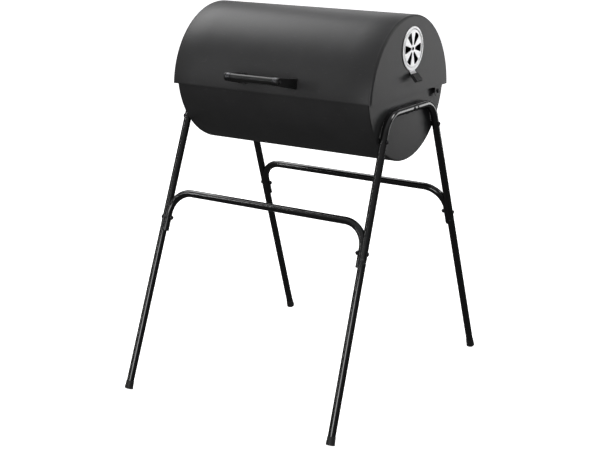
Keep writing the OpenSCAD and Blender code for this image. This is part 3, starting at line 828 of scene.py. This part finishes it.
shells = Shells()
screw_low, screw_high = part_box("frame_screws")
screw_seat = screw_high.x - 2.4 * MM
screw_at = (screw_low + screw_high) / 2
for sx in (-1, 1):
    place = frame_of((sx * (screw_seat - HEAD_GAP), screw_at.y, screw_at.z), (sx, 0, 0))
    head(shells, place, 3.8 * MM, 2.5 * MM)
    shells.lathe(
        [(0, 2 * MM), (4 * MM, 2 * MM), (8 * MM, 1.9 * MM)],
        frame_of((sx * screw_seat, screw_at.y, screw_at.z), (-sx, 0, 0)), 24,
    )
shells.build("joint_screws", dark_fastener, "root", "dark_fastener", ["frame_screws"], 40)


# ---------------------------------------------------------------- vents


def vent_plate():
    """Front skin of the right end's vent disc, with its windows, a groove and a raised rim."""
    windows, half_window = 6, math.radians(15.5)
    r_in, r_out, corner = 10.0, 40.5, 0.7  # millimetres, as the profile's radii and heights are
    window_steps, spoke_steps = 8, 10
    flat = [2.7, 4.2, 5.2, 7.0, 8.8, r_in, 12.0, 20.0, 30.0, 38.0, r_out, 42.5]
    profile = [(r, 0.0) for r in flat] + [
        (44.0, -0.02), (44.7, -0.35), (45.4, -0.5), (46.6, -0.5), (47.3, -0.2), (48.0, 0.45),
        (48.8, 0.6), (51.6, 0.6), (52.9, 0.5), (53.6, 0.2), (54.0, -0.25),
    ]
    angles = []
    for i in range(windows):
        middle = TAU * (i + 0.5) / windows
        for k in range(window_steps):
            angles.append(middle - half_window + 2 * half_window * k / window_steps)
        gap = TAU / windows - 2 * half_window
        for k in range(spoke_steps):
            angles.append(middle + half_window + gap * k / spoke_steps)
    points, faces = [], []
    per_cell = window_steps + spoke_steps
    for r, x in profile:
        at_end = 1 if r == r_in else -1 if r == r_out else 0
        for index, a in enumerate(angles):
            spot = index % per_cell
            side = 1 if spot == 0 else -1 if spot == window_steps else 0
            r_here = r
            if at_end and side:  # softens a window's corner
                a += side * corner / r
                r_here += at_end * corner
            points.append((
                VENT_FACE_X + x * MM,
                -r_here * MM * math.sin(a),
                VENT_Z + r_here * MM * math.cos(a),
            ))
    count = len(angles)
    for i in range(len(profile) - 1):
        in_windows = r_in <= profile[i][0] and profile[i + 1][0] <= r_out
        for j in range(count):
            if in_windows and j % per_cell < window_steps:
                continue
            k = (j + 1) % count
            faces.append((i * count + j, i * count + k, (i + 1) * count + k, (i + 1) * count + j))
    return points, faces


def tab_plate():
    """Front skin of the vent's tab: it leaves the disc's foot and bends outward to the grip."""
    face_x, bend = VENT_FACE_X - 0.05 * MM, 3 * MM
    path = [(face_x, TAB_BEND_Z + 6 * MM), (face_x, TAB_BEND_Z + 2 * MM)]
    centre = (path[-1][0] + bend, path[-1][1])
    steps = 6
    for i in range(1, steps + 1):
        a = TAB_SLOPE * i / steps
        path.append((centre[0] - bend * math.cos(a), centre[1] - bend * math.sin(a)))
    x, z = path[-1]
    for d in (4, 8, 16, 24):
        path.append((x + d * MM * math.sin(TAB_SLOPE), z - d * MM * math.cos(TAB_SLOPE)))
    columns = [-0.5, -0.47, -0.25, 0, 0.25, 0.47, 0.5]
    points = [(x, share * TAB_WIDTH, z) for x, z in path for share in columns]
    n = len(columns)
    faces = [
        (i * n + j, i * n + j + 1, (i + 1) * n + j + 1, (i + 1) * n + j)
        for i in range(len(path) - 1) for j in range(n - 1)
    ]
    return points, faces


def vent_disc(end, sx):
    """The stamped disc and its tab, one sheet thick."""
    mesh = bpy.data.meshes.new("vent_plate_" + end)
    shells = Shells()
    shells.add(*vent_plate())
    shells.add(*tab_plate())
    mesh.from_pydata([(p.x * sx, p.y, p.z) for p in shells.points], [], shells.faces)
    work = bmesh.new()
    work.from_mesh(mesh)
    bmesh.ops.recalc_face_normals(work, faces=work.faces)
    wrong = [f for f in work.faces if f.normal.x * sx < 0]
    bmesh.ops.reverse_faces(work, faces=wrong)
    work.to_mesh(mesh)
    work.free()
    piece = finish_mesh(
        mesh, "vent_plate_" + end, vent_metal, "vent_" + end, ["vent_disc_" + end], 45
    )
    solid = piece.modifiers.new("thickness", "SOLIDIFY")
    solid.thickness = 0.95 * MM
    solid.offset = -1
    solid.use_even_offset = False
    bevel(piece, 0.18 * MM, 2, 50)


FACE_STEPS = 24
RIDGES_FROM, RIDGES_TO, RIDGE_PITCH, RIDGE_DEPTH = 4.5 * MM, 18.5 * MM, 3.5 * MM, 0.55 * MM


def vent_grip(end, sx):
    """The plastic grip on the tab: a rounded block with ridges across both faces."""
    grip = Shells()
    thick, length, width = 8 * MM, 23 * MM, 31 * MM
    origin = Vector((sx * (VENT_X + 0.5 * MM), 0, TAB_BEND_Z))
    down = Vector((sx * math.sin(TAB_SLOPE), 0, -math.cos(TAB_SLOPE)))
    out = Vector((sx * math.cos(TAB_SLOPE), 0, math.sin(TAB_SLOPE)))
    start = 7 * MM
    section = []
    corner_r, per = 2.6 * MM, 8
    centres = [
        (thick / 2 - corner_r, corner_r, -math.pi / 2),
        (thick / 2 - corner_r, length - corner_r, 0.0),
        (-thick / 2 + corner_r, length - corner_r, math.pi / 2),
        (-thick / 2 + corner_r, corner_r, math.pi),
    ]
    for index, (cx, cz, first) in enumerate(centres):
        for k in range(per + 1):
            a = first + math.pi / 2 * k / per
            section.append((cx + corner_r * math.cos(a), cz + corner_r * math.sin(a)))
        if index in (0, 2):
            z0, z1 = section[-1][1], centres[index + 1][1]
            for k in range(1, FACE_STEPS):
                section.append((section[-1][0], z0 + (z1 - z0) * k / FACE_STEPS))
    rings = []
    stations = [(-1.0, 0.80), (-0.985, 0.88), (-0.95, 0.96), (-0.9, 0.99), (-0.84, 1.0)]
    stations += [(k / 10, 1.0) for k in range(-7, 8)]
    stations += [(-a, b) for a, b in reversed(stations[:5])]
    mid = length / 2
    for share, scale in stations:
        ring = []
        for face, along in section:
            on_face = abs(face) > thick / 2 - 0.1 * MM and abs(share) < 0.82
            if on_face and RIDGES_FROM < along < RIDGES_TO:
                wave = 0.5 - 0.5 * math.cos(TAU * (along - RIDGES_FROM) / RIDGE_PITCH)
                face -= math.copysign(RIDGE_DEPTH * wave, face)
            ring.append(
                origin + Vector((0, share * width / 2, 0))
                + out * (face * (0.6 + 0.4 * scale))
                + down * (start + mid + (along - mid) * (0.9 + 0.1 * scale))
            )
        rings.append(ring)
    grip.rings(rings)
    grip.build(
        "vent_knob_" + end, handle_black, "vent_" + end, "handle_black", ["vent_grip_" + end], 50
    )


for end, sx in (("right", 1), ("left", -1)):
    vent_disc(end, sx)
    vent_grip(end, sx)

shells = Shells()
DOME = [(0, 3.9), (0.25, 4.2), (0.8, 4.0), (1.4, 3.1), (1.75, 1.9), (1.85, 0.8)]
SHANK = [(0, 2.5), (4, 2.5), (4.4, 3.9), (5.4, 3.4)]
for sx in (-1, 1):
    at = (sx * (VENT_FACE_X + 0.3 * MM), 0, VENT_Z)
    shells.lathe([(h * MM, r * MM) for h, r in DOME], frame_of(at, (sx, 0, 0)), 40)
    shells.lathe([(h * MM, r * MM) for h, r in SHANK], frame_of(at, (-sx, 0, 0)), 32)
shells.build("rivets", dark_fastener, "lid", "vent_metal", ["vent_rivets"], 40)


# ---------------------------------------------------------------- handle

axis = frame_of((-BAR_HALF, BAR_Y, BAR_Z), (1, 0, 0))
bar_r, edge, length = 9.25 * MM, 0.6 * MM, 2 * BAR_HALF
profile = [(0, bar_r - edge), (edge, bar_r)]
profile += [(length * k / 12, bar_r) for k in range(1, 12)]
profile += [(length - edge, bar_r), (length, bar_r - edge)]
shells = Shells()
shells.lathe(profile, axis, 72)
shells.build("bar", grip_satin, "lid", "handle_black", ["handle_grip"])

shells = Shells()
wide, ring_r, groove = 11 * MM, 10.2 * MM, 0.35 * MM
collar = [
    (0, bar_r + SNUG), (0, ring_r - 0.4 * MM), (0.4 * MM, ring_r), (3.2 * MM, ring_r),
    (3.6 * MM, ring_r - groove), (4.2 * MM, ring_r - groove), (4.6 * MM, ring_r),
    (wide - 0.5 * MM, ring_r), (wide, ring_r - 0.4 * MM), (wide, bar_r + SNUG),
]
for sx in (-1, 1):
    place = frame_of((sx * (BAR_HALF - wide), BAR_Y, BAR_Z), (sx, 0, 0))
    shells.lathe(collar, place, 72, True)
shells.build("collars", collar_metal, "lid", "collar_metal", ["handle_collars"], 30)


def hull_of(points):
    """Convex outline of flat points, anticlockwise."""
    points = sorted(set(points))

    def half(items):
        chain = []
        for p in items:
            while len(chain) > 1 and (
                (chain[-1][0] - chain[-2][0]) * (p[1] - chain[-2][1])
                - (chain[-1][1] - chain[-2][1]) * (p[0] - chain[-2][0])
            ) <= 0:
                chain.pop()
            chain.append(p)
        return chain[:-1]

    return half(points) + half(points[::-1])


def resampled(outline, count):
    """The closed outline at equal steps."""
    loop = [Vector(p) for p in outline] + [Vector(outline[0])]
    lengths = [(b - a).length for a, b in zip(loop, loop[1:])]
    total, found = sum(lengths), []
    for k in range(count):
        want, i = total * k / count, 0
        while want > lengths[i]:
            want -= lengths[i]
            i += 1
        found.append(loop[i].lerp(loop[i + 1], want / lengths[i]))
    return found


def shrunk(outline, distance):
    """The outline moved inward along its own normals."""
    n, moved = len(outline), []
    for i, p in enumerate(outline):
        along = (outline[(i + 1) % n] - outline[i - 1]).normalized()
        moved.append(p + Vector((-along.y, along.x)) * distance)
    return moved


def off_lid(y, z, clearance=0.1 * MM):
    """Keeps a point of the handle outside the lid's sheet."""
    away = math.hypot(y, z - LID_AXIS_Z)
    scale = max(1.0, (LID_R + clearance) / away)
    return y * scale, LID_AXIS_Z + (z - LID_AXIS_Z) * scale


def arm():
    """Right arm: a dished plate that flares from the bar to the lid, and its turned-in foot."""
    nose_r, foot_z, foot_h, foot_width = 10.3 * MM, 807 * MM, 25 * MM, 22 * MM
    nose_y, root_y = BAR_Y - nose_r, -LID_R - 3 * MM
    turns = [TAU * k / 64 for k in range(64)]
    points = [(BAR_Y + nose_r * math.cos(a), BAR_Z + nose_r * math.sin(a)) for a in turns]
    soft, back_y = 3.6 * MM, -LID_R + 7 * MM
    for sign in (-1, 1):
        for k in range(7):
            a = math.pi / 2 * k / 6
            rise = foot_h / 2 - soft + soft * math.sin(a)
            points.append((back_y - soft + soft * math.cos(a), foot_z + sign * rise))
    outline = resampled(hull_of(points), 150)

    def flare(y):
        return min(max((y - nose_y) / (root_y - nose_y), 0.0), 1.0)

    def inner(y):
        return BAR_HALF + SNUG + (FOOT_OUT - ARM_ROOT - BAR_HALF) * flare(y)

    def outer(y):
        return BAR_HALF + ARM_THICK + (FOOT_OUT - BAR_HALF - ARM_THICK) * flare(y)

    # the side that a ring belongs to, its depth past that side and its inset, in millimetres
    stations = [
        (inner, 0.0, 1.2), (inner, 0.35, 0.4), (inner, 1.1, 0.0),
        (outer, -1.5, 0.0), (outer, -0.45, 0.45), (outer, 0.0, 1.4),
        (outer, 0.0, 2.3), (outer, -0.7, 2.8), (outer, -0.7, 3.5),
    ]
    rings = []
    for face, depth, inset in stations:
        ring = []
        for p, q in zip(outline, shrunk(outline, inset * MM) if inset else outline):
            y, z = off_lid(q.x, q.y)
            ring.append((face(p.x) + depth * MM, y, z))
        rings.append(ring)
    shells = Shells()
    shells.rings(rings)

    foot_in = FOOT_OUT - foot_width
    section = []
    for r, sign in ((LID_R + 0.1 * MM, 1), (LID_R + 6 * MM, -1)):
        for k in range(13):
            h = foot_z + sign * (-foot_h / 2 + foot_h * k / 12)
            y = -math.sqrt(r * r - (h - LID_AXIS_Z) ** 2)
            section.append(Vector((y, h)))
    centre = sum(section, Vector((0, 0))) / len(section)
    rings = []
    for x, inset in ((0.0, 1.6), (0.5, 0.5), (1.6, 0.0), (18.0, 0.0), (19.5, 0.0)):
        ring = []
        for p in section:
            q = p + (centre - p).normalized() * inset * MM
            y, z = off_lid(q.x, q.y)
            ring.append((foot_in + x * MM, y, z))
        rings.append(ring)
    shells.rings(rings)
    return shells


ARM = arm()
for end, sx in (("right", 1), ("left", -1)):
    ARM.mirrored((sx, 1)).build(
        "arm_" + end, handle_black, "lid", "handle_black", ["handle_arm_" + end], 40
    )

shells = Shells()
for sx in (-1, 1):
    at = (sx * (BAR_HALF + ARM_THICK + 0.1 * MM), BAR_Y, BAR_Z)
    head(shells, frame_of(at, (sx, 0, 0)), 4.5 * MM, 2.4 * MM)
    shells.lathe(
        [(0, 2.5 * MM), (9 * MM, 2.5 * MM), (18 * MM, 2.4 * MM)], frame_of(at, (-sx, 0, 0)), 24
    )
shells.build("bar_screws", dark_fastener, "lid", "dark_fastener", ["handle_bar_screws"], 40)


# ---------------------------------------------------------------- grates


def rod(shells, start, stop, radius, count=16):
    """Wire with rounded ends."""
    start, stop = Vector(start), Vector(stop)
    length = (stop - start).length
    profile = []
    for k in range(4):
        a = math.pi / 2 * (k + 0.35) / 4
        profile.append((radius * (1 - math.sin(a)) * 0.8, radius * math.cos(math.pi / 2 - a) ** 0.9))
    profile.sort()
    profile += [(length / 2, radius)] + [(length - h, r) for h, r in reversed(profile)]
    shells.lathe(profile, frame_of(start, stop - start), count)


WELD = [(0, 1.7), (0.5, 2.6), (1.2, 3.0), (2.0, 2.7), (2.6, 2.0)]


def grate(name, node, count, tie_y, sx):
    """Grate of bars along Y on tie wires along X, with a weld bead at every crossing."""
    low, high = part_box(node)
    bar_r, tie_r, sink = 2.25 * MM, 2.5 * MM, 0.6 * MM
    bar_z = high.z - bar_r
    tie_z = bar_z - bar_r - tie_r + sink
    inner, outer = (low.x, high.x) if sx > 0 else (high.x, low.x)
    first, last = inner + sx * bar_r, outer - sx * bar_r
    shells = Shells()
    ties = (-tie_y, 0.0, tie_y)
    for y in ties:
        rod(shells, (low.x, y, tie_z), (high.x, y, tie_z), tie_r)
    for i in range(count):
        x = first + (last - first) * i / (count - 1)
        rod(shells, (x, low.y, bar_z), (x, high.y, bar_z), bar_r)
        for y in ties:
            place = frame_of((x, y, bar_z - bar_r - 1.3 * MM), (0, 0, 1))
            shells.lathe([(h * MM, r * MM) for h, r in WELD], place, 12)
    shells.build(name, grate_wire, node, "grate_wire", [node], 40)


for end, sx in (("right", 1), ("left", -1)):
    grate("cooking_wires_" + end, "cooking_grill_" + end, 19, 165 * MM, sx)
    grate("charcoal_wires_" + end, "charcoal_grate_" + end, 15, 105 * MM, sx)


# ---------------------------------------------------------------- floor, lights and camera


def floor():
    mesh = bpy.data.meshes.new("floor")
    size = 30.0
    corners = [(-size, -size, 0), (size, -size, 0), (size, size, 0), (-size, size, 0)]
    mesh.from_pydata(corners, [], [(0, 1, 2, 3)])
    material, tree, shader = new_material("floor_white")
    coords = tree.nodes.new("ShaderNodeTexCoord")
    cloud = noise_of(tree, coords, 0.8, 2.0)
    tone = mixed(tree, cloud, (0.93, 0.93, 0.93), (0.95, 0.95, 0.95))
    tree.links.new(tone, shader.inputs["Base Color"])
    shader.inputs["Roughness"].default_value = 0.9
    shader.inputs["Specular IOR Level"].default_value = 0.0
    shader.inputs["Emission Color"].default_value = (1, 1, 1, 1)
    shader.inputs["Emission Strength"].default_value = 1.0
    mesh.materials.append(material)
    plane = bpy.data.objects.new("floor", mesh)
    bpy.context.scene.collection.objects.link(plane)
    plane.visible_diffuse = False
    plane.visible_glossy = False


def softbox(name, place, width, height, power):
    """Area light aimed at the grill. The camera never sees it."""
    data = bpy.data.lights.new(name, "AREA")
    data.shape = "RECTANGLE"
    data.size, data.size_y = width, height
    data.energy = power
    lamp = bpy.data.objects.new(name, data)
    lamp.visible_camera = False
    turn = (MIDDLE - Vector(place)).to_track_quat("-Z", "Y").to_matrix().to_4x4()
    lamp.matrix_world = Matrix.Translation(Vector(place)) @ turn
    bpy.context.scene.collection.objects.link(lamp)


def world():
    """Dim grey gradient for reflections, darker towards the horizon."""
    sky = bpy.data.worlds.new("studio")
    bpy.context.scene.world = sky
    sky.use_nodes = True
    tree = sky.node_tree
    tree.nodes.clear()
    output = tree.nodes.new("ShaderNodeOutputWorld")
    background = tree.nodes.new("ShaderNodeBackground")
    coords = tree.nodes.new("ShaderNodeTexCoord")
    split = tree.nodes.new("ShaderNodeSeparateXYZ")
    ramp = tree.nodes.new("ShaderNodeValToRGB")
    tree.links.new(coords.outputs["Generated"], split.inputs["Vector"])
    tree.links.new(split.outputs["Z"], ramp.inputs["Fac"])
    ramp.color_ramp.elements[0].position = 0.0
    ramp.color_ramp.elements[0].color = (0.10, 0.10, 0.10, 1)
    ramp.color_ramp.elements[1].position = 0.75
    ramp.color_ramp.elements[1].color = (0.55, 0.55, 0.56, 1)
    tree.links.new(ramp.outputs["Color"], background.inputs["Color"])
    background.inputs["Strength"].default_value = 0.6
    # the camera sees the same pale tone above the horizon as on the floor
    backdrop = tree.nodes.new("ShaderNodeBackground")
    backdrop.inputs["Color"].default_value = (1, 1, 1, 1)
    rays = tree.nodes.new("ShaderNodeLightPath")
    choice = tree.nodes.new("ShaderNodeMixShader")
    tree.links.new(rays.outputs["Is Camera Ray"], choice.inputs["Fac"])
    tree.links.new(background.outputs["Background"], choice.inputs[1])
    tree.links.new(backdrop.outputs["Background"], choice.inputs[2])
    tree.links.new(choice.outputs["Shader"], output.inputs["Surface"])


MIDDLE = Vector((0, 0, 0.75))
# the place, width, height and watts of each light
SOFTBOXES = {
    "overhead": ((-1.9, 0.5, 2.9), 2.0, 1.6, 35),
    "back": ((-1.0, 3.5, 2.4), 2.8, 1.6, 18),
    "left_strip": ((-2.1, -2.6, 1.6), 0.07, 2.2, 8),
    "right_rear": ((1.5, 2.5, 0.7), 0.9, 1.2, 8.5),
    "right_high": ((1.9, 1.0, 2.2), 0.6, 0.6, 10),
    "front_fill": ((0.7, -3.3, 0.9), 1.4, 1.2, 24),
}
CAMERA_PLACE = Vector((1.6587, -2.6901, 1.2886))
CAMERA_LENS, CAMERA_SENSOR = 74.84, 36
YAW, PITCH, ROLL = math.radians(32.101), math.radians(-15.718), math.radians(0.535)


def add_camera():
    data = bpy.data.cameras.new("camera")
    data.sensor_width = CAMERA_SENSOR
    data.sensor_fit = "HORIZONTAL"
    data.lens = CAMERA_LENS
    data.clip_end = 200
    camera = bpy.data.objects.new("camera", data)
    level = Vector((-math.sin(YAW), math.cos(YAW), 0)) * math.cos(PITCH)
    forward = level + Vector((0, 0, math.sin(PITCH)))
    right = Vector((math.cos(YAW), math.sin(YAW), 0))
    up = right.cross(forward)
    right, up = (
        right * math.cos(ROLL) + up * math.sin(ROLL),
        up * math.cos(ROLL) - right * math.sin(ROLL),
    )
    turn = Matrix((right, up, -forward)).transposed().to_4x4()
    camera.matrix_world = Matrix.Translation(CAMERA_PLACE) @ turn
    bpy.context.scene.collection.objects.link(camera)
    bpy.context.scene.camera = camera


floor()
world()
for name, settings in SOFTBOXES.items():
    softbox(name, *settings)
add_camera()
bpy.context.scene.view_settings.view_transform = "Standard"
